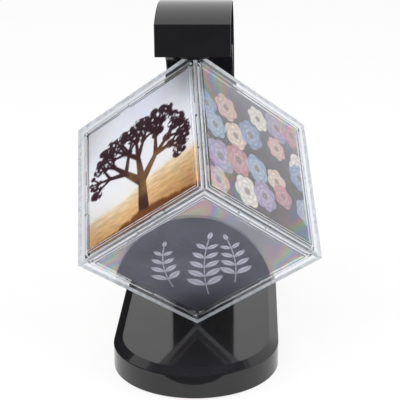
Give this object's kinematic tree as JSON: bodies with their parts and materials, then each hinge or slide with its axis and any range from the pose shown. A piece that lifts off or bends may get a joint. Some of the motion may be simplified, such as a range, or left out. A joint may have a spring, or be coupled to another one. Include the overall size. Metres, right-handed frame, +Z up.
{
  "type": "rotating photo cube",
  "caption": "Clear picture cube that stands on one corner on a glossy base and is turned about its upright diagonal by a motor in the head of an arched arm.",
  "frame": {"origin": "on the cube's turning axis, on the flat surface that the base pad rests on", "axes": "+Z up along the turning axis, +Y from the turning axis towards the column, +X to the right for a viewer who faces the cube from the side away from the column"},
  "size_m": [0.1312, 0.1736, 0.1903],
  "materials": {
    "stand_black": "polished moulded ABS, black",
    "plate_black": "fine textured moulded ABS, black",
    "pad_foam": "closed foam rubber, matt",
    "screw_steel": "zinc plated steel",
    "shaft_steel": "ground steel",
    "motor_steel": "drawn and plated steel",
    "bearing_brass": "turned brass",
    "bearing_black": "moulded acetal, black",
    "magnet": "sintered ferrite",
    "gearbox_plastic": "moulded acetal, natural",
    "gear_plastic": "moulded acetal, natural",
    "contact_steel": "nickel plated spring steel",
    "battery_jacket": "plain printed sleeve over steel",
    "lead_red": "PVC insulation",
    "lead_black": "PVC insulation",
    "clear_window": "clear polished polystyrene",
    "core_plastic": "white moulded polystyrene",
    "photo_front_left": null,
    "photo_front_right": null,
    "photo_lower_front": null,
    "photo_back": null,
    "photo_lower_right": null,
    "photo_lower_left": null
  },
  "bodies": {
    "stand": {"base_shell": "stand_black", "arm_shell": "stand_black", "arm_inner_cover": "stand_black", "base_bottom_plate": "plate_black", "switch_body": "plate_black", "motor_end_cap": "plate_black", "base_pad": "pad_foam", "base_screws": "screw_steel", "arm_foot_screws": "screw_steel", "arm_screws": "screw_steel", "gearbox_screws": "screw_steel", "gear_axles": "shaft_steel", "motor_can": "motor_steel", "spindle_bush": "bearing_brass", "pivot_bush": "bearing_black", "motor_magnets": "magnet", "gearbox_plate": "gearbox_plastic", "gearbox_top_plate": "gearbox_plastic", "contact_bridge": "contact_steel", "contact_positive": "contact_steel", "contact_negative": "contact_steel", "battery_springs": "contact_steel", "battery_1": "battery_jacket", "battery_2": "battery_jacket", "lead_positive": "lead_red", "switch_lead": "lead_red", "lead_negative": "lead_black"},
    "cube": {"cover_front_right": "clear_window", "cover_back": "clear_window", "cover_front_left": "clear_window", "cover_lower_right": "clear_window", "cover_lower_front": "clear_window", "cover_lower_left": "clear_window", "print_front_right": "photo_front_right", "print_back": "photo_back", "print_front_left": "photo_front_left", "print_lower_right": "photo_lower_right", "print_lower_front": "photo_lower_front", "print_lower_left": "photo_lower_left", "core_upper": "core_plastic", "core_lower": "core_plastic", "drive_cup": "plate_black", "spindle_shaft": "shaft_steel", "spindle_gear": "gear_plastic", "spindle_clip": "shaft_steel"},
    "reduction_gear_2": {"reduction_gear_2": "gear_plastic"},
    "reduction_gear_1": {"reduction_gear_1": "gear_plastic"},
    "rotor": {"motor_armature": "shaft_steel", "motor_shaft": "shaft_steel", "motor_pinion": "gear_plastic"},
    "switch_knob": {"switch_knob": "plate_black"},
    "battery_door": {"battery_door": "stand_black"}
  },
  "joints": [
    {"name": "cube_spin", "type": "hinge", "parent": "stand", "child": "cube", "pos_m": [0, 0, 0.0915], "axis": [0, 0, 1], "continuous": true},
    {"name": "reduction_gear_2_spin", "type": "hinge", "parent": "stand", "child": "reduction_gear_2", "pos_m": [0, 0.01208, 0.179], "axis": [0, 0, 1], "continuous": true},
    {"name": "reduction_gear_1_spin", "type": "hinge", "parent": "stand", "child": "reduction_gear_1", "pos_m": [0, 0.02416, 0.179], "axis": [0, 0, 1], "continuous": true},
    {"name": "motor_spin", "type": "hinge", "parent": "stand", "child": "rotor", "pos_m": [0, 0.03624, 0.174], "axis": [0, 0, 1], "continuous": true},
    {"name": "switch_slide", "type": "slide", "parent": "stand", "child": "switch_knob", "axis": [1, 0, 0], "range_m": [0, 0.0032]},
    {"name": "battery_door_hinge", "type": "hinge", "parent": "stand", "child": "battery_door", "pos_m": [0, 0.0994, 0.0281], "axis": [-1, 0, 0], "range_deg": [0, 95]}
  ],
  "couplings": [
    {"joint": "reduction_gear_2_spin", "follows": "cube_spin", "ratio": -4},
    {"joint": "reduction_gear_1_spin", "follows": "cube_spin", "ratio": 16},
    {"joint": "motor_spin", "follows": "cube_spin", "ratio": -64}
  ]
}
